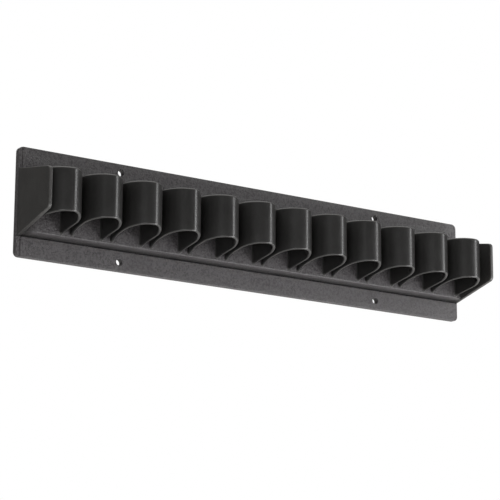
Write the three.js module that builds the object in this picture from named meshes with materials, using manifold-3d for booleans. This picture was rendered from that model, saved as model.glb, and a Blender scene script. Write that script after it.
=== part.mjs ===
// Wall rack for twelve riding whips, moulded in black plastic.
// Millimetres, +Z up, +X to the right for somebody facing the wall. The origin is the centre of the
// wall face. The rack stands out towards -Y, and "depth" counts that way from the plate's front face.
import * as THREE from 'three';
import { mergeVertices } from 'three/addons/utils/BufferGeometryUtils.js';
import Module from 'manifold-3d';

// Mounting plate
const PLATE_LENGTH = 500;
const PLATE_HEIGHT = 100;
const PLATE_THICKNESS = 6;
const PLATE_CORNER = 4.5;
const SCREW_HOLE_RADIUS = 3.1;
const SCREW_HOLE_FROM_END = 104.6;
const SCREW_HOLE_FROM_EDGE = 8.3;

// End cheeks: their height runs down from the plate to the front edge
const CHEEK_REACH = 57;
const CHEEK_THICKNESS = 3.6;
const CHEEK_FROM_PLATE_END = 0.5;
const CHEEK_ROOT_LOW = -32.2;
const CHEEK_ROOT_HIGH = 30.2;
const CHEEK_FRONT_LOW = -17.8;
const CHEEK_FRONT_HIGH = 19;
const CHEEK_CORNER = 4;

// Raised panel between the cheeks, a shallow tray that opens towards the plate
const PANEL_REACH = 10.5;
const PANEL_WALL = 2.4;
const PANEL_FRONT_LOW = -29.1;
const PANEL_FRONT_HIGH = 28.1;

// Fingers: hollow caps, open below and behind, with a slot for one whip to the right of each
const FINGER_COUNT = 12;
const FINGER_WIDTH = 36.8;
const SLOT_WIDTH = 4.15;
const LAST_SLOT_WIDTH = 5;
const FINGER_REACH = 60.5;
const FINGER_WALL = 2.2;
const FINGER_ROOT_LOW = -26.8;
const FINGER_ROOT_HIGH = 22.3;
const FINGER_FRONT_LOW = -19;
const FINGER_FRONT_HIGH = 20.3;
const FINGER_NOSE_SHIFT = 1.2;
const LEFT_SHOULDER_START = 38;
const RIGHT_SHOULDER_START = 37;
const LEFT_SHOULDER_POWER = 2;
const RIGHT_SHOULDER_POWER = 1.75;
const SHOULDER_STEPS = 9;
const LEFT_WALL_BEND = 30;
const LEFT_ROOT_INSET = 4;

// Clearance between neighbouring pieces
const GAP = 0.3;

const wasm = await Module();
wasm.setup();

const blackPlastic = { color: 0x2b2a2a, roughness: 0.38, metalness: 0 };
const grainedPlastic = { color: 0x3b393a, roughness: 0.55, metalness: 0 };

const cheekOuterX = PLATE_LENGTH / 2 - CHEEK_FROM_PLATE_END;
const cheekInnerX = cheekOuterX - CHEEK_THICKNESS;

// Maps a shape's own X, Y and thickness to three directions of the rack
function extrudeAlong(shape, thickness, xAxis, yAxis, thicknessAxis) {
  const geometry = new THREE.ExtrudeGeometry(shape, {
    depth: thickness,
    bevelEnabled: false,
    curveSegments: 6,
  });
  geometry.applyMatrix4(new THREE.Matrix4().makeBasis(xAxis, yAxis, thicknessAxis));
  return geometry;
}

// A shape drawn as (x, z), from the wall face out
function fromFrontView(shape, thickness) {
  return extrudeAlong(
    shape,
    thickness,
    new THREE.Vector3(1, 0, 0),
    new THREE.Vector3(0, 0, 1),
    new THREE.Vector3(0, -1, 0),
  );
}

// A shape drawn as (depth, z), from lowX to highX
function fromSideView(shape, lowX, highX) {
  const geometry = extrudeAlong(
    shape,
    highX - lowX,
    new THREE.Vector3(0, -1, 0),
    new THREE.Vector3(0, 0, 1),
    new THREE.Vector3(-1, 0, 0),
  );
  return geometry.translate(highX, -PLATE_THICKNESS, 0);
}

// A shape drawn as (x, depth), over the plate's whole height
function fromTopView(shape) {
  const geometry = extrudeAlong(
    shape,
    PLATE_HEIGHT,
    new THREE.Vector3(1, 0, 0),
    new THREE.Vector3(0, -1, 0),
    new THREE.Vector3(0, 0, -1),
  );
  return geometry.translate(0, -PLATE_THICKNESS, PLATE_HEIGHT / 2);
}

function polygon(points) {
  return new THREE.Shape(points.map(([x, y]) => new THREE.Vector2(x, y)));
}

function toSolid(geometry) {
  geometry.deleteAttribute('normal');
  geometry.deleteAttribute('uv');
  const merged = mergeVertices(geometry, 1e-4);
  return new wasm.Manifold(new wasm.Mesh({
    numProp: 3,
    vertProperties: new Float32Array(merged.attributes.position.array),
    triVerts: new Uint32Array(merged.index.array),
  }));
}

function toGeometry(solid) {
  const mesh = solid.getMesh();
  const geometry = new THREE.BufferGeometry();
  geometry.setAttribute('position', new THREE.BufferAttribute(mesh.vertProperties, 3));
  geometry.setIndex(new THREE.BufferAttribute(mesh.triVerts, 1));
  geometry.computeVertexNormals();
  return geometry;
}

function namedMesh(name, geometry, look) {
  const mesh = new THREE.Mesh(geometry, new THREE.MeshStandardMaterial(look));
  mesh.name = name;
  return mesh;
}

// Flat plate with rounded corners and four screw holes
function backPlate() {
  const halfLength = PLATE_LENGTH / 2;
  const halfHeight = PLATE_HEIGHT / 2;
  const straightX = halfLength - PLATE_CORNER;
  const straightZ = halfHeight - PLATE_CORNER;
  const shape = new THREE.Shape();
  shape.absarc(straightX, -straightZ, PLATE_CORNER, -Math.PI / 2, 0);
  shape.absarc(straightX, straightZ, PLATE_CORNER, 0, Math.PI / 2);
  shape.absarc(-straightX, straightZ, PLATE_CORNER, Math.PI / 2, Math.PI);
  shape.absarc(-straightX, -straightZ, PLATE_CORNER, Math.PI, 1.5 * Math.PI);
  for (const side of [-1, 1]) {
    for (const level of [-1, 1]) {
      const hole = new THREE.Path();
      const holeX = side * (halfLength - SCREW_HOLE_FROM_END);
      const holeZ = level * (halfHeight - SCREW_HOLE_FROM_EDGE);
      hole.absarc(holeX, holeZ, SCREW_HOLE_RADIUS, 0, 2 * Math.PI, true);
      shape.holes.push(hole);
    }
  }
  return namedMesh('back_plate', fromFrontView(shape, PLATE_THICKNESS), grainedPlastic);
}

// Shallow tray, hollow towards the plate
function raisedPanel() {
  const halfLength = cheekInnerX - GAP;
  const outer = polygon([
    [GAP, CHEEK_ROOT_LOW],
    [PANEL_REACH, PANEL_FRONT_LOW],
    [PANEL_REACH, PANEL_FRONT_HIGH],
    [GAP, CHEEK_ROOT_HIGH],
  ]);
  const hollow = polygon([
    [GAP - PANEL_WALL, CHEEK_ROOT_LOW + PANEL_WALL],
    [PANEL_REACH - PANEL_WALL, PANEL_FRONT_LOW + PANEL_WALL],
    [PANEL_REACH - PANEL_WALL, PANEL_FRONT_HIGH - PANEL_WALL],
    [GAP - PANEL_WALL, CHEEK_ROOT_HIGH - PANEL_WALL],
  ]);
  const outerSolid = toSolid(fromSideView(outer, -halfLength, halfLength));
  const hollowHalf = halfLength - PANEL_WALL;
  const hollowSolid = toSolid(fromSideView(hollow, -hollowHalf, hollowHalf));
  return namedMesh('raised_panel', toGeometry(outerSolid.subtract(hollowSolid)), grainedPlastic);
}

// Rounds the corner between two straight edges by a curve that starts and ends CHEEK_CORNER from it
function roundCorner(shape, before, corner, after) {
  const start = corner.clone().sub(before).setLength(CHEEK_CORNER).negate().add(corner);
  const end = after.clone().sub(corner).setLength(CHEEK_CORNER).add(corner);
  shape.lineTo(start.x, start.y);
  shape.quadraticCurveTo(corner.x, corner.y, end.x, end.y);
}

// Upright wall at one end of the rack
function endCheek(name, side) {
  const rootLow = new THREE.Vector2(GAP, CHEEK_ROOT_LOW);
  const frontLow = new THREE.Vector2(CHEEK_REACH, CHEEK_FRONT_LOW);
  const frontHigh = new THREE.Vector2(CHEEK_REACH, CHEEK_FRONT_HIGH);
  const rootHigh = new THREE.Vector2(GAP, CHEEK_ROOT_HIGH);
  const shape = new THREE.Shape();
  shape.moveTo(rootLow.x, rootLow.y);
  roundCorner(shape, rootLow, frontLow, frontHigh);
  roundCorner(shape, frontLow, frontHigh, rootHigh);
  shape.lineTo(rootHigh.x, rootHigh.y);
  const lowX = side > 0 ? cheekInnerX : -cheekOuterX;
  return namedMesh(name, fromSideView(shape, lowX, lowX + CHEEK_THICKNESS), blackPlastic);
}

// Plan of a finger as (x, depth): two side walls joined by two rounded shoulders.
// inset draws the hollow inside it, which runs out through the back.
function fingerPlan(centreX, inset) {
  const rootDepth = PANEL_REACH + GAP - inset;
  const leftX = centreX - FINGER_WIDTH / 2 + inset;
  const rightX = centreX + FINGER_WIDTH / 2 - inset;
  const noseX = centreX + FINGER_NOSE_SHIFT;
  const reach = FINGER_REACH - inset;
  const points = [
    [leftX + LEFT_ROOT_INSET, rootDepth],
    [leftX, LEFT_WALL_BEND],
  ];
  for (let step = 0; step <= SHOULDER_STEPS; step += 1) {
    const turn = (Math.PI / 2) * step / SHOULDER_STEPS;
    const across = Math.cos(turn) ** (2 / LEFT_SHOULDER_POWER);
    const out = Math.sin(turn) ** (2 / LEFT_SHOULDER_POWER);
    points.push([
      noseX - (noseX - leftX) * across,
      LEFT_SHOULDER_START + (reach - LEFT_SHOULDER_START) * out,
    ]);
  }
  for (let step = SHOULDER_STEPS - 1; step >= 0; step -= 1) {
    const turn = (Math.PI / 2) * step / SHOULDER_STEPS;
    const across = Math.cos(turn) ** (2 / RIGHT_SHOULDER_POWER);
    const out = Math.sin(turn) ** (2 / RIGHT_SHOULDER_POWER);
    points.push([
      noseX + (rightX - noseX) * across,
      RIGHT_SHOULDER_START + (reach - RIGHT_SHOULDER_START) * out,
    ]);
  }
  points.push([rightX, rootDepth]);
  return polygon(points);
}

// Side view of the height that a finger, or the hollow inside it, takes up at each depth
function fingerHeight(lowX, highX, roof, floor) {
  const rise = (FINGER_FRONT_LOW - FINGER_ROOT_LOW) / (FINGER_REACH - PANEL_REACH);
  const fall = (FINGER_ROOT_HIGH - FINGER_FRONT_HIGH) / (FINGER_REACH - PANEL_REACH);
  return toSolid(fromSideView(polygon([
    [0, FINGER_ROOT_LOW - rise * PANEL_REACH - floor],
    [FINGER_REACH + GAP, FINGER_FRONT_LOW + rise * GAP - floor],
    [FINGER_REACH + GAP, FINGER_FRONT_HIGH - fall * GAP - roof],
    [0, FINGER_ROOT_HIGH + fall * PANEL_REACH - roof],
  ]), lowX, highX));
}

// Hollow cap with a closed top, open below and towards the panel
function fingerSolid(centreX) {
  const lowX = centreX - FINGER_WIDTH;
  const highX = centreX + FINGER_WIDTH;
  const outside = toSolid(fromTopView(fingerPlan(centreX, 0)));
  const inside = toSolid(fromTopView(fingerPlan(centreX, FINGER_WALL)));
  const cap = outside.intersect(fingerHeight(lowX, highX, 0, 0));
  return cap.subtract(inside.intersect(fingerHeight(lowX, highX, FINGER_WALL, FINGER_WALL)));
}

// Everything to the right of the left cheek's inner face
function rightOfLeftCheek() {
  return toSolid(fromTopView(polygon([
    [-cheekInnerX + GAP, 0],
    [-cheekInnerX + GAP, FINGER_REACH],
    [0, FINGER_REACH],
    [0, 0],
  ])));
}

// The first finger has no left wall of its own: its front and top run into the left cheek
function firstFinger(name, centreX) {
  const lowX = centreX - FINGER_WIDTH;
  const wide = toSolid(fromTopView(polygon([
    [lowX, 0],
    [lowX, LEFT_SHOULDER_START],
    [centreX, LEFT_SHOULDER_START],
    [centreX, 0],
  ])));
  const hollow = wide.intersect(fingerHeight(lowX, centreX, FINGER_WALL, FINGER_WALL));
  const solid = fingerSolid(centreX).subtract(hollow).intersect(rightOfLeftCheek());
  return namedMesh(name, toGeometry(solid), blackPlastic);
}

const group = new THREE.Group();
group.add(backPlate());
group.add(raisedPanel());
group.add(endCheek('left_cheek', -1));
group.add(endCheek('right_cheek', 1));

// The last slot lies between the last finger and the right cheek
const pitch = FINGER_WIDTH + SLOT_WIDTH;
const lastCentreX = cheekInnerX - LAST_SLOT_WIDTH - FINGER_WIDTH / 2;
for (let number = 1; number <= FINGER_COUNT; number += 1) {
  const name = `finger_${String(number).padStart(2, '0')}`;
  const centreX = lastCentreX - pitch * (FINGER_COUNT - number);
  if (number === 1) {
    group.add(firstFinger(name, centreX));
  } else {
    group.add(namedMesh(name, toGeometry(fingerSolid(centreX)), blackPlastic));
  }
}

export default group;
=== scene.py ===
"""Wall rack for twelve riding whips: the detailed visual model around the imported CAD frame.

Sizes are in millimetres in this file. "x" and "z" count from the middle of the plate, and "depth" from
the plate's front face towards the room. place() turns them into the frame's metres.
"""

import math

import bmesh
import bpy
from mathutils import Matrix, Vector
from mathutils.geometry import tessellate_polygon


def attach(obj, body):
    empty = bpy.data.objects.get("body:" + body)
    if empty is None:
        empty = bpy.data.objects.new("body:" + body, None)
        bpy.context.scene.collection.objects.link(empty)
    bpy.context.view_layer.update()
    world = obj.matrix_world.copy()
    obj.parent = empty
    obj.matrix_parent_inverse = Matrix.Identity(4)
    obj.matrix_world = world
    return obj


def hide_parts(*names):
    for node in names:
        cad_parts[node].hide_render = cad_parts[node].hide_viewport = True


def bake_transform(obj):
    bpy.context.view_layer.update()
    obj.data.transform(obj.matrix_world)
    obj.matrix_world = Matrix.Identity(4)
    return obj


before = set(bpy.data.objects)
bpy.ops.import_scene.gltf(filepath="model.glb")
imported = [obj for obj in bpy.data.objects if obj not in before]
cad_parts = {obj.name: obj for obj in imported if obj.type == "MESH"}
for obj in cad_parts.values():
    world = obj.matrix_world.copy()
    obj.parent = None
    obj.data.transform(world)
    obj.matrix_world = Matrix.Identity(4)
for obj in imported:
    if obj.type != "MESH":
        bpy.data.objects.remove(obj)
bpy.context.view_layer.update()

# Plate
PLATE_LENGTH = 500.0
PLATE_HEIGHT = 100.0
PLATE_THICKNESS = 6.0
PLATE_CORNER = 4.5
PLATE_RIM = 0.45
END_STRIP = 4.1
END_STRIP_DROP = 0.6
END_STRIP_RAMP = 0.45
SCREW_HOLE_RADIUS = 3.1
SCREW_HOLE_RIM = 0.35
SCREW_HOLE_FROM_END = 104.6
SCREW_HOLE_FROM_EDGE = 8.3

# End cheeks
CHEEK_REACH = 57.0
CHEEK_THICKNESS = 3.6
CHEEK_FROM_PLATE_END = 0.5
CHEEK_ROOT_LOW = -32.2
CHEEK_ROOT_HIGH = 30.2
CHEEK_FRONT_LOW = -17.8
CHEEK_FRONT_HIGH = 19.0
CHEEK_CORNER = 4.0
CHEEK_EDGE = 0.9

# Raised panel. Its foot is where the slopes meet the plate's face
PANEL_REACH = 10.5
PANEL_FRONT_LOW = -29.1
PANEL_FRONT_HIGH = 28.1
PANEL_EDGE = 0.9
PANEL_FOOT_DEPTH = 0.3
PANEL_FOOT_TUCK = 0.1

# Fingers
FINGER_COUNT = 12
FINGER_WIDTH = 36.8
SLOT_WIDTH = 4.15
LAST_SLOT_WIDTH = 5.0
FINGER_REACH = 60.5
FINGER_WALL = 2.2
FINGER_ROOT_LOW = -26.8
FINGER_ROOT_HIGH = 22.3
FINGER_FRONT_LOW = -19.0
FINGER_FRONT_HIGH = 20.3
NOSE_SHIFT = 1.2
LEFT_SHOULDER_START = 38.0
RIGHT_SHOULDER_START = 37.0
LEFT_SHOULDER_POWER = 2.0
RIGHT_SHOULDER_POWER = 1.75
LEFT_WALL_BEND = 30.0
LEFT_ROOT_INSET = 4.0
LEFT_ROOT_CURVE = 1.5
# The wall is thicker round the right shoulder, at this place from the finger's centre line
SHOULDER_EXTRA_WALL = 1.1
SHOULDER_THICKEST = (14.5, 50.0)
SHOULDER_THICK_REACH = 17.0
TOP_FILLET = 1.8
CEILING_FILLET = 1.0
ROOT_FLARE = 1.3
ROOT_FLARE_REACH = 3.2
# The first finger's own wall begins this far from the cheek
FIRST_WALL_FROM_CHEEK = 0.8

# How far a piece reaches into the one behind it, so that no gap shows
EMBED = 0.2

# How finely each curve is divided
ARC_STEPS = 5
CORNER_STEPS = 8
HOLE_STEPS = 40
RIM_STEPS = 4
STRIP_STEPS = 4
PANEL_SPANS = 48
SHOULDER_STEPS = 16
WALL_STEPS = 7
FLARE_STEPS = 5
CEILING_STEPS = 3
TOP_STEPS = 7
LIP_STEPS = 8
WALL_SHARES = (0.25, 0.5, 0.75)

cheek_outer_x = PLATE_LENGTH / 2 - CHEEK_FROM_PLATE_END
cheek_inner_x = cheek_outer_x - CHEEK_THICKNESS


def place(x, depth, z):
    return Vector((x, -(PLATE_THICKNESS + depth), z)) * 0.001


# ---------------------------------------------------------------- camera

CAMERA_PLACE = (-1.03567, -1.53836, -0.45216)
CAMERA_YAW = math.radians(33.9725)
CAMERA_PITCH = math.radians(13.431)
CAMERA_ROLL = math.radians(0.2898)

camera_data = bpy.data.cameras.new("camera")
camera_data.lens = 144.761
camera_data.sensor_width = 36.0
camera_data.clip_start = 0.05
camera_data.clip_end = 200.0
camera = bpy.data.objects.new("camera", camera_data)
camera.matrix_world = (
    Matrix.Translation(CAMERA_PLACE)
    @ Matrix.Rotation(-CAMERA_YAW, 4, "Z")
    @ Matrix.Rotation(math.pi / 2 + CAMERA_PITCH, 4, "X")
    @ Matrix.Rotation(CAMERA_ROLL, 4, "Z")
)
bpy.context.scene.collection.objects.link(camera)
bpy.context.scene.camera = camera


# ---------------------------------------------------------------- materials


class Nodes:
    """Short calls for building a node tree."""

    def __init__(self, tree):
        self.tree = tree
        tree.nodes.clear()

    def add(self, kind, settings=None, **inputs):
        node = self.tree.nodes.new(kind)
        for key, value in (settings or {}).items():
            setattr(node, key, value)
        for key, value in inputs.items():
            self.feed(node, key.replace("_", " "), value)
        return node

    def feed(self, node, key, value):
        socket = node.inputs[int(key) if key.isdigit() else key]
        if isinstance(value, bpy.types.NodeSocket):
            self.tree.links.new(value, socket)
        else:
            socket.default_value = value

    def math(self, operation, first, second=0.0, third=0.0):
        node = self.tree.nodes.new("ShaderNodeMath")
        node.operation = operation
        for index, value in enumerate((first, second, third)):
            self.feed(node, str(index), value)
        return node.outputs[0]

    def noise(self, where, scale, detail=2.0, roughness=0.5):
        node = self.add("ShaderNodeTexNoise", Vector=where, Scale=scale, Detail=detail, Roughness=roughness)
        return node.outputs["Fac"]

    def ramp(self, value, low, high, to_low, to_high):
        node = self.add("ShaderNodeMapRange", Value=value)
        for key, number in zip(("From Min", "From Max", "To Min", "To Max"), (low, high, to_low, to_high)):
            node.inputs[key].default_value = number
        return node.outputs["Result"]

    def mix(self, share, first, second):
        node = self.add("ShaderNodeMix", {"data_type": "RGBA"})
        self.feed(node, "0", share)
        self.feed(node, "6", first)
        self.feed(node, "7", second)
        return node.outputs[2]


# Textures: frequencies are per metre
DRIFT_SCALE = 9.0
CLOUD_SCALE = 55.0
STREAK_SCALE = (260.0, 260.0, 14.0)
# Most of a noise texture's values lie in this span
NOISE_SPAN = (0.3, 0.7)
# How much each texture changes the roughness, and the grain the gloss
CLOUD_ROUGHNESS = (-0.025, 0.035)
STREAK_ROUGHNESS = (-0.02, 0.02)
GRAIN_ROUGHNESS = 0.12
GRAIN_GLOSS = 0.16
# Convex edges, from the first pointiness to the second, are a little smoother and are painted lighter. The
# lighter colour is a painted edge highlight
BURNISH_AND_HIGHLIGHT_SPAN = (0.515, 0.60)
EDGE_HIGHLIGHT_SHARE = 0.6
BURNISH_ROUGHNESS = -0.06
PLASTIC_IOR = 1.49


def plastic(name, dark, light, edge_highlight_colour, roughness, grain_size, grain_height, speckle):
    """Black moulded plastic. Its colour and roughness drift slowly over the surface, and convex edges are a
    little smoother and carry a painted highlight in a lighter colour. A fine grain lies over everything. The
    grain's size and height are in metres."""
    material = bpy.data.materials.new(name)
    material.use_nodes = True
    n = Nodes(material.node_tree)
    where = n.add("ShaderNodeTexCoord").outputs["Object"]
    drift = n.noise(where, DRIFT_SCALE, 3.0)
    cloud = n.noise(where, CLOUD_SCALE, 4.0, 0.6)
    grain = n.noise(where, 1.0 / grain_size, 5.0, 0.62)
    cells = n.add(
        "ShaderNodeTexVoronoi", {"feature": "SMOOTH_F1"}, Vector=where, Scale=1.6 / grain_size, Smoothness=0.6
    ).outputs["Distance"]
    stretched = n.add("ShaderNodeMapping", Vector=where, Scale=STREAK_SCALE).outputs["Vector"]
    streaks = n.noise(stretched, 1.0, 3.0)
    edges = n.ramp(n.add("ShaderNodeNewGeometry").outputs["Pointiness"], *BURNISH_AND_HIGHLIGHT_SPAN, 0.0, 1.0)

    shade = n.math("ADD", n.ramp(drift, *NOISE_SPAN, 0.0, 0.5), n.ramp(cloud, *NOISE_SPAN, 0.0, 0.5))
    shade = n.math("MULTIPLY_ADD", n.ramp(grain, 0.35, 0.65, -1.0, 1.0), speckle, shade)
    plain = n.mix(shade, (*dark, 1), (*light, 1))
    # Convex edges are mixed towards a lighter colour: a painted edge highlight
    colour = n.mix(n.math("MULTIPLY", edges, EDGE_HIGHLIGHT_SHARE), plain, (*edge_highlight_colour, 1))

    rough = n.math("ADD", roughness, n.ramp(cloud, *NOISE_SPAN, *CLOUD_ROUGHNESS))
    rough = n.math("ADD", rough, n.ramp(streaks, *NOISE_SPAN, *STREAK_ROUGHNESS))
    flecks = n.ramp(grain, *NOISE_SPAN, -1.0, 1.0)
    rough = n.math("MULTIPLY_ADD", flecks, speckle * GRAIN_ROUGHNESS, rough)
    rough = n.math("MULTIPLY_ADD", edges, BURNISH_ROUGHNESS, rough)

    height = n.math("ADD", n.ramp(grain, 0.25, 0.75, 0.0, 0.6), n.ramp(cells, 0.0, 0.8, 0.4, 0.0))
    bump = n.add("ShaderNodeBump", Strength=1.0, Distance=grain_height, Height=height)
    shader = n.add(
        "ShaderNodeBsdfPrincipled",
        Base_Color=colour,
        Roughness=rough,
        Specular_IOR_Level=n.math("MULTIPLY_ADD", flecks, speckle * GRAIN_GLOSS, 0.5),
        Normal=bump.outputs["Normal"],
        IOR=PLASTIC_IOR,
    )
    n.add("ShaderNodeOutputMaterial", Surface=shader.outputs["BSDF"])
    return material


grained = plastic(
    "grained plastic",
    dark=(0.0330, 0.0300, 0.0322),
    light=(0.0455, 0.0420, 0.0448),
    edge_highlight_colour=(0.050, 0.048, 0.049),
    roughness=0.56,
    grain_size=0.0017,
    grain_height=0.00036,
    speckle=2.0,
)
matte = plastic(
    "matte plastic",
    dark=(0.0190, 0.0184, 0.0180),
    light=(0.0265, 0.0256, 0.0250),
    edge_highlight_colour=(0.065, 0.063, 0.061),
    roughness=0.47,
    grain_size=0.0012,
    grain_height=0.00005,
    speckle=0.2,
)
satin = plastic(
    "satin plastic",
    dark=(0.0105, 0.0103, 0.0102),
    light=(0.0148, 0.0145, 0.0143),
    edge_highlight_colour=(0.075, 0.073, 0.072),
    roughness=0.33,
    grain_size=0.0016,
    grain_height=0.000012,
    speckle=0.12,
)


# ---------------------------------------------------------------- mesh helpers


def make_piece(name, points, faces, material, nodes):
    """A closed mesh from points in metres. It stands for the given CAD nodes."""
    mesh = bpy.data.meshes.new(name)
    mesh.from_pydata([tuple(p) for p in points], [], faces)
    work = bmesh.new()
    work.from_mesh(mesh)
    bmesh.ops.recalc_face_normals(work, faces=work.faces)
    work.to_mesh(mesh)
    work.free()
    mesh.materials.append(material)
    mesh.shade_smooth()
    obj = bpy.data.objects.new(name, mesh)
    bpy.context.scene.collection.objects.link(obj)
    weighting = obj.modifiers.new("even shading", "WEIGHTED_NORMAL")
    weighting.weight = 100
    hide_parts(*nodes)
    return obj


def quarter_round(radius, steps=ARC_STEPS):
    """(inset, height) along a fillet, from the side wall at (0, 0) to the flat at (radius, radius)."""
    turns = [math.pi / 2 * i / steps for i in range(steps + 1)]
    return [(radius * (1 - math.cos(t)), radius * math.sin(t)) for t in turns]


def arc(centre_x, centre_y, radius, start, end, steps):
    turns = [math.radians(start + (end - start) * i / steps) for i in range(steps + 1)]
    return [(centre_x + radius * math.cos(t), centre_y + radius * math.sin(t)) for t in turns]


def normals_of(path, closed):
    """Outward unit normals, scaled at corners so that an offset path stays parallel. The path runs
    with its outside on the left of each step where it is open, and counter-clockwise where closed."""
    found = []
    count = len(path)
    for i, (x, y) in enumerate(path):
        sides = []
        for j, k in ((i - 1, i), (i, i + 1)):
            if not closed and (j < 0 or k >= count):
                continue
            (ax, ay), (bx, by) = path[j % count], path[k % count]
            length = math.hypot(bx - ax, by - ay)
            sides.append(((by - ay) / length, -(bx - ax) / length))
        nx = sum(s[0] for s in sides) / len(sides)
        ny = sum(s[1] for s in sides) / len(sides)
        size = nx * nx + ny * ny
        found.append((nx / size, ny / size))
    return found


def bridge(faces, first, second, closed=True):
    count = len(first)
    for i in range(count if closed else count - 1):
        k = (i + 1) % count
        faces.append((first[i], first[k], second[k], second[i]))


# ---------------------------------------------------------------- plate


def plate_outline():
    half_x = PLATE_LENGTH / 2 - PLATE_CORNER
    half_z = PLATE_HEIGHT / 2 - PLATE_CORNER
    return (
        arc(half_x, -half_z, PLATE_CORNER, -90, 0, CORNER_STEPS)
        + arc(half_x, half_z, PLATE_CORNER, 0, 90, CORNER_STEPS)
        + arc(-half_x, half_z, PLATE_CORNER, 90, 180, CORNER_STEPS)
        + arc(-half_x, -half_z, PLATE_CORNER, 180, 270, CORNER_STEPS)
    )


def make_plate():
    points, faces = [], []

    def ring(path, normals, inset, depth):
        start = len(points)
        for (x, z), (nx, nz) in zip(path, normals):
            points.append(place(x - nx * inset, depth, z - nz * inset))
        return list(range(start, len(points)))

    def wall_of(path, rim, sign):
        """Rings from the back face to the front one. sign is 1 for the outline and -1 for a hole."""
        normals = normals_of(path, True)
        steps = [(sign * i, -PLATE_THICKNESS + rim - h) for i, h in reversed(quarter_round(rim, RIM_STEPS))]
        steps += [(sign * i, h - rim) for i, h in quarter_round(rim, RIM_STEPS)]
        rings = [ring(path, normals, inset, depth) for inset, depth in steps]
        for first, second in zip(rings, rings[1:]):
            bridge(faces, first, second)
        return rings[0], rings[-1]

    loops = [wall_of(plate_outline(), PLATE_RIM, 1)]
    for side in (-1, 1):
        for level in (-1, 1):
            x = side * (PLATE_LENGTH / 2 - SCREW_HOLE_FROM_END)
            z = level * (PLATE_HEIGHT / 2 - SCREW_HOLE_FROM_EDGE)
            circle = arc(x, z, SCREW_HOLE_RADIUS, 0, 360, HOLE_STEPS)[:-1]
            loops.append(wall_of(circle, SCREW_HOLE_RIM, -1))
    for which in (0, 1):
        rings = [loop[which] for loop in loops]
        flat = [i for r in rings for i in r]
        for triangle in tessellate_polygon([[points[i] for i in r] for r in rings]):
            faces.append(tuple(flat[i] for i in triangle))
    plate = make_piece("back_plate_moulding", points, faces, grained, ["back_plate"])

    # Both ends are a shallow strip, a little below the rest of the face
    work = bmesh.new()
    work.from_mesh(plate.data)
    start = PLATE_LENGTH / 2 - END_STRIP
    cuts = [start - END_STRIP_RAMP / 2 + END_STRIP_RAMP * i / STRIP_STEPS for i in range(STRIP_STEPS + 1)]
    for cut in cuts:
        for side in (-1, 1):
            bmesh.ops.bisect_plane(
                work,
                geom=work.verts[:] + work.edges[:] + work.faces[:],
                plane_co=place(side * cut, 0, 0),
                plane_no=(1, 0, 0),
            )
    for vertex in work.verts:
        share = (abs(vertex.co.x) * 1000 - cuts[0]) / END_STRIP_RAMP
        share = max(0.0, min(1.0, share))
        front = max(0.0, min(1.0, (-vertex.co.y * 1000 - PLATE_RIM) / (PLATE_THICKNESS - PLATE_RIM)))
        vertex.co.y += END_STRIP_DROP * share * share * (3 - 2 * share) * front * 0.001
    work.to_mesh(plate.data)
    work.free()
    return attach(plate, "rack")


make_plate()


# ---------------------------------------------------------------- panel


def make_panel():
    """A closed bar whose profile has rounded front edges. Its ends reach into the cheeks."""
    profile = [(-EMBED, CHEEK_ROOT_LOW + PANEL_FOOT_TUCK)]
    low_foot, high_foot = (PANEL_FOOT_DEPTH, CHEEK_ROOT_LOW), (PANEL_FOOT_DEPTH, CHEEK_ROOT_HIGH)
    low_front, high_front = (PANEL_REACH, PANEL_FRONT_LOW), (PANEL_REACH, PANEL_FRONT_HIGH)
    front = [(low_foot, low_front, high_front), (low_front, high_front, high_foot)]
    for before, corner, after in front:
        before, corner, after = Vector(before), Vector(corner), Vector(after)
        start = corner + (before - corner).normalized() * PANEL_EDGE
        end = corner + (after - corner).normalized() * PANEL_EDGE
        for i in range(ARC_STEPS + 1):
            t = i / ARC_STEPS
            profile.append(tuple(start * (1 - t) ** 2 + corner * (2 * t * (1 - t)) + end * t * t))
    profile.append((-EMBED, CHEEK_ROOT_HIGH - PANEL_FOOT_TUCK))
    points, faces, rings = [], [], []
    for i in range(PANEL_SPANS + 1):
        start = len(points)
        for depth, z in profile:
            points.append(place((cheek_inner_x + EMBED) * (2 * i / PANEL_SPANS - 1), depth, z))
        rings.append(list(range(start, len(points))))
    for first, second in zip(rings, rings[1:]):
        bridge(faces, first, second)
    faces += [tuple(rings[0]), tuple(reversed(rings[-1]))]
    panel = make_piece("raised_panel_moulding", points, faces, grained, ["raised_panel"])
    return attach(panel, "rack")


make_panel()


# ---------------------------------------------------------------- cheeks


def rounded(corner_points, radius, steps):
    """Closed path. Each corner is (x, y, whether it is rounded)."""
    path = []
    count = len(corner_points)
    for i, (x, y, is_round) in enumerate(corner_points):
        here = Vector((x, y))
        if not is_round:
            path.append((x, y))
            continue
        before = Vector(corner_points[i - 1][:2])
        after = Vector(corner_points[(i + 1) % count][:2])
        start = here + (before - here).normalized() * radius
        end = here + (after - here).normalized() * radius
        for k in range(steps + 1):
            t = k / steps
            path.append(tuple(start * (1 - t) ** 2 + here * (2 * t * (1 - t)) + end * t * t))
    return path


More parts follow.
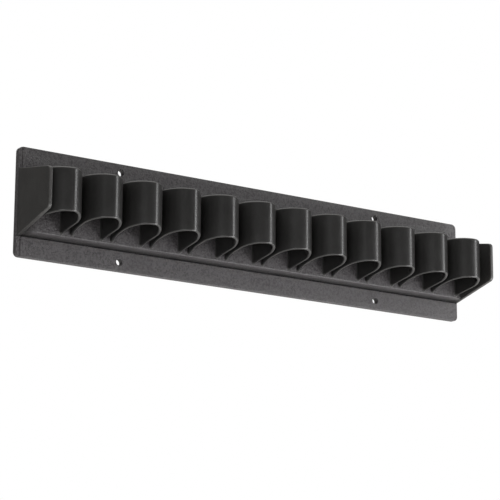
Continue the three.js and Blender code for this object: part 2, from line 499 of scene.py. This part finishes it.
def make_cheek(name, side):
    # The root reaches below the plate's end strip
    path = rounded(
        [
            (-END_STRIP_DROP - EMBED, CHEEK_ROOT_LOW, False),
            (CHEEK_REACH, CHEEK_FRONT_LOW, True),
            (CHEEK_REACH, CHEEK_FRONT_HIGH, True),
            (-END_STRIP_DROP - EMBED, CHEEK_ROOT_HIGH, False),
        ],
        CHEEK_CORNER,
        CORNER_STEPS,
    )
    normals = normals_of(path, True)
    steps = [(i, -CHEEK_THICKNESS / 2 + CHEEK_EDGE - h) for i, h in reversed(quarter_round(CHEEK_EDGE))]
    steps += [(i, CHEEK_THICKNESS / 2 - CHEEK_EDGE + h) for i, h in quarter_round(CHEEK_EDGE)]
    middle = cheek_outer_x - CHEEK_THICKNESS / 2
    points, faces, rings = [], [], []
    for inset, across in steps:
        start = len(points)
        for (depth, z), (nd, nz) in zip(path, normals):
            at_depth = depth if depth < 0 else depth - nd * inset
            at_z = z - nz * inset
            points.append(place(side * (middle + across), at_depth, at_z))
        rings.append(list(range(start, len(points))))
    for first, second in zip(rings, rings[1:]):
        bridge(faces, first, second)
    faces += [tuple(rings[0]), tuple(reversed(rings[-1]))]
    cheek = make_piece(name + "_moulding", points, faces, matte, [name])
    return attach(cheek, "rack")


make_cheek("left_cheek", -1)
make_cheek("right_cheek", 1)


# ---------------------------------------------------------------- fingers


def along(start, end, steps):
    """Points from start towards end, without the end."""
    return [
        (start[0] + (end[0] - start[0]) * i / steps, start[1] + (end[1] - start[1]) * i / steps)
        for i in range(steps)
    ]


def finger_path(centre_x):
    """Plan of a finger as (x, depth): left wall, two rounded shoulders, right wall."""
    root = PANEL_REACH - EMBED
    left, right = centre_x - FINGER_WIDTH / 2, centre_x + FINGER_WIDTH / 2
    nose = centre_x + NOSE_SHIFT
    left_bulge, right_bulge = 2 / LEFT_SHOULDER_POWER, 2 / RIGHT_SHOULDER_POWER
    flare = PANEL_REACH + ROOT_FLARE_REACH

    def left_wall_x(depth):
        share = max(0.0, (LEFT_WALL_BEND - depth) / (LEFT_WALL_BEND - PANEL_REACH))
        return left + LEFT_ROOT_INSET * share ** LEFT_ROOT_CURVE

    depths = [root] + [PANEL_REACH + ROOT_FLARE_REACH * i / FLARE_STEPS for i in range(FLARE_STEPS)]
    left_depths = depths + [flare + (LEFT_SHOULDER_START - flare) * i / WALL_STEPS for i in range(WALL_STEPS)]
    path = [(left_wall_x(d), d) for d in left_depths]
    for step in range(SHOULDER_STEPS + 1):
        turn = (math.pi / 2) * step / SHOULDER_STEPS
        path.append(
            (
                nose - (nose - left) * math.cos(turn) ** left_bulge,
                LEFT_SHOULDER_START + (FINGER_REACH - LEFT_SHOULDER_START) * math.sin(turn) ** left_bulge,
            )
        )
    for step in range(SHOULDER_STEPS - 1, -1, -1):
        turn = (math.pi / 2) * step / SHOULDER_STEPS
        path.append(
            (
                nose + (right - nose) * math.cos(turn) ** right_bulge,
                RIGHT_SHOULDER_START + (FINGER_REACH - RIGHT_SHOULDER_START) * math.sin(turn) ** right_bulge,
            )
        )
    right_depths = [flare + (RIGHT_SHOULDER_START - flare) * i / WALL_STEPS for i in range(WALL_STEPS)]
    path += [(right, d) for d in reversed(depths + right_depths)]
    return path


def finger_levels(wall):
    """The wall's section from the ceiling down the inside, round the lip and up the outside to the top.
    Each is (inset, share of the way up, height above that, side): side is 1 outside and -1 inside."""
    half_wall = wall / 2
    levels = []
    for inset, height in reversed(quarter_round(CEILING_FILLET, CEILING_STEPS)):
        levels.append((wall + inset, 1, height - FINGER_WALL - CEILING_FILLET, -1))
    for share in reversed(WALL_SHARES):
        levels.append((wall, share, 0, -1))
    for i in range(LIP_STEPS + 1):
        turn = math.pi * i / LIP_STEPS
        side = -math.cos(turn)
        levels.append((half_wall * (1 - side), 0, half_wall * (1 - math.sin(turn)), side))
    for share in WALL_SHARES:
        levels.append((0, share, 0, 1))
    for inset, height in quarter_round(TOP_FILLET, TOP_STEPS):
        levels.append((inset, 1, height - TOP_FILLET, 1))
    return levels


def flare_at(depth):
    """How far a wall has spread where it meets the panel."""
    left_over = (PANEL_REACH + ROOT_FLARE_REACH - depth) / ROOT_FLARE_REACH
    left_over = max(0.0, min(1.0, left_over))
    return ROOT_FLARE * (1 - math.sqrt(max(0.0, 1 - left_over ** 2)))


def wall_at(x_from_centre, depth):
    """Thickness of the wall at a place in the finger's plan."""
    away = math.dist((x_from_centre, depth), SHOULDER_THICKEST) / SHOULDER_THICK_REACH
    return FINGER_WALL + SHOULDER_EXTRA_WALL * max(0.0, 1 - away * away) ** 2


def height_at(depth):
    """The lowest and highest z of a finger at a depth."""
    share = (depth - PANEL_REACH) / (FINGER_REACH - PANEL_REACH)
    low = FINGER_ROOT_LOW + (FINGER_FRONT_LOW - FINGER_ROOT_LOW) * share
    high = FINGER_ROOT_HIGH + (FINGER_FRONT_HIGH - FINGER_ROOT_HIGH) * share
    return low, high


def make_finger(number, centre_x):
    name = f"finger_{number:02d}"
    first = number == 1
    root = PANEL_REACH - EMBED
    cheek_x = -cheek_inner_x - EMBED
    path = finger_path(centre_x)
    normals = [(-nx, -nd) for nx, nd in normals_of(path, False)]
    if first:
        clear_x = cheek_x + FIRST_WALL_FROM_CHEEK
        begin = next(i for i, (x, d) in enumerate(path) if d > LEFT_SHOULDER_START and x > clear_x)
        path, normals = path[begin:], normals[begin:]
        # The wall starts in the cheek's inner face
        before, after = path[0], path[1]
        slope = (after[1] - before[1]) / (after[0] - before[0])
        path.insert(0, (cheek_x, before[1] - slope * (before[0] - cheek_x)))
        normals.insert(0, normals[0])
    points, faces, columns = [], [], []
    last = len(path) - 1
    for i, ((x, depth), (nx, nd)) in enumerate(zip(path, normals)):
        column = []
        wall = wall_at(x - centre_x, depth)
        for inset, share, height, side in finger_levels(wall):
            spread = flare_at(depth) * side
            shift = inset - spread
            px, pd = x - nx * shift, depth - nd * shift
            if i == last or (i == 0 and not first):
                pd = root
            if i == 0 and first:
                px = cheek_x
            low, high = height_at(pd)
            bottom, top = low + wall / 2, high - TOP_FILLET
            if share == 0:
                z = low + height - flare_at(depth) * (1 - abs(side))
            elif share == 1:
                below_fillet = side > 0 and height <= -TOP_FILLET
                z = high + height + (0.0 if below_fillet else flare_at(depth) * side)
            else:
                z = bottom + (top - bottom) * share
            column.append(len(points))
            points.append(place(px, pd, z))
        columns.append(column)
    for one, two in zip(columns, columns[1:]):
        bridge(faces, one, two, closed=False)
    ceiling = [column[0] for column in columns]
    top = [column[-1] for column in columns]
    if first:
        # The corner where the cheek meets the panel closes the top and the ceiling
        corner = place(cheek_x, root, 0)
        above = points[columns[-1][-1]].z
        below = points[columns[-1][0]].z
        top_corner = len(points)
        points.append(Vector((corner.x, corner.y, above)))
        ceiling_corner = len(points)
        points.append(Vector((corner.x, corner.y, below)))
        faces.append(tuple(top + [top_corner]))
        faces.append(tuple(reversed(ceiling + [ceiling_corner])))
        faces.append(tuple(columns[0] + [top_corner, ceiling_corner]))
        faces.append(tuple(list(reversed(columns[-1])) + [ceiling_corner, top_corner]))
    else:
        faces.append(tuple(top))
        faces.append(tuple(reversed(ceiling)))
        faces.append(tuple(columns[0] + list(reversed(columns[-1]))))
    obj = make_piece(name + "_moulding", points, faces, satin, [name])
    if first:
        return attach(obj, "rack")
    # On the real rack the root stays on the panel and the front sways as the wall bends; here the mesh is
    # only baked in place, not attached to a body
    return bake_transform(obj)


pitch = FINGER_WIDTH + SLOT_WIDTH
last_centre_x = cheek_inner_x - LAST_SLOT_WIDTH - FINGER_WIDTH / 2
for number in range(1, FINGER_COUNT + 1):
    make_finger(number, last_centre_x - pitch * (FINGER_COUNT - number))


# ---------------------------------------------------------------- floor, world and lights

# Metres
FLOOR_LEVEL = -1.4
FLOOR_HALF = 40.0
FLOOR_COLOURS = ((0.78, 0.78, 0.775, 1), (0.82, 0.82, 0.815, 1))

OVERHEAD_FOCUS = 3.0
OVERHEAD_STRENGTH = 2.3
ROOM_STRENGTH = 0.028
ROOM_COLOUR = (1.0, 0.985, 0.96, 1)


def make_floor():
    material = bpy.data.materials.new("pale floor")
    material.use_nodes = True
    n = Nodes(material.node_tree)
    where = n.add("ShaderNodeTexCoord").outputs["Object"]
    colour = n.mix(n.noise(where, 1.5, 4.0), *FLOOR_COLOURS)
    shader = n.add("ShaderNodeBsdfPrincipled", Base_Color=colour, Roughness=0.8)
    n.add("ShaderNodeOutputMaterial", Surface=shader.outputs["BSDF"])
    mesh = bpy.data.meshes.new("floor")
    corners = [(x, y, FLOOR_LEVEL) for x, y in ((-1, -1), (1, -1), (1, 1), (-1, 1))]
    mesh.from_pydata([(x * FLOOR_HALF, y * FLOOR_HALF, z) for x, y, z in corners], [], [(0, 1, 2, 3)])
    mesh.materials.append(material)
    floor = bpy.data.objects.new("floor", mesh)
    bpy.context.scene.collection.objects.link(floor)


make_floor()


def make_world():
    """Pale to look at. As light it is a soft room: bright overhead, dim at eye level."""
    world = bpy.data.worlds.new("studio")
    bpy.context.scene.world = world
    world.use_nodes = True
    n = Nodes(world.node_tree)
    direction = n.add("ShaderNodeTexCoord").outputs["Generated"]
    parts = n.add("ShaderNodeSeparateXYZ", Vector=direction).outputs
    up = n.math("MAXIMUM", parts[2], 0.0)
    overhead = n.math("POWER", up, OVERHEAD_FOCUS)
    strength = n.math("MULTIPLY_ADD", overhead, OVERHEAD_STRENGTH, ROOM_STRENGTH)
    room = n.add("ShaderNodeBackground", Color=ROOM_COLOUR, Strength=strength)
    pale = n.add("ShaderNodeBackground", Color=(1.0, 1.0, 1.0, 1), Strength=1.0)
    seen = n.add("ShaderNodeLightPath").outputs["Is Camera Ray"]
    mixed = n.tree.nodes.new("ShaderNodeMixShader")
    n.feed(mixed, "0", seen)
    n.feed(mixed, "1", room.outputs[0])
    n.feed(mixed, "2", pale.outputs[0])
    n.add("ShaderNodeOutputWorld", Surface=mixed.outputs[0])


make_world()


def softbox(name, azimuth, elevation, distance, width, height, power):
    """Rectangular light that faces the rack, in metres and watts. Azimuth counts in degrees from
    straight in front to the right."""
    a, e = math.radians(azimuth), math.radians(elevation)
    back = Vector((math.sin(a) * math.cos(e), -math.cos(a) * math.cos(e), math.sin(e)))
    data = bpy.data.lights.new(name, "AREA")
    data.shape = "RECTANGLE"
    data.size, data.size_y = width, height
    data.energy = power
    light = bpy.data.objects.new(name, data)
    light.location = back * distance
    light.rotation_mode = "QUATERNION"
    light.rotation_quaternion = back.to_track_quat("Z", "Y")
    light.visible_camera = False
    bpy.context.scene.collection.objects.link(light)


softbox("key wide", azimuth=50.0, elevation=-10.0, distance=1.7, width=0.64, height=2.0, power=20.0)
softbox("key edge", azimuth=57.0, elevation=-6.0, distance=4.0, width=0.26, height=5.0, power=42.0)
softbox("low fill", azimuth=48.0, elevation=-38.0, distance=1.5, width=0.9, height=0.7, power=15.0)
softbox("camera fill", azimuth=-36.0, elevation=-16.0, distance=4.0, width=2.0, height=2.0, power=60.0)

bpy.context.scene.view_settings.view_transform = "Standard"
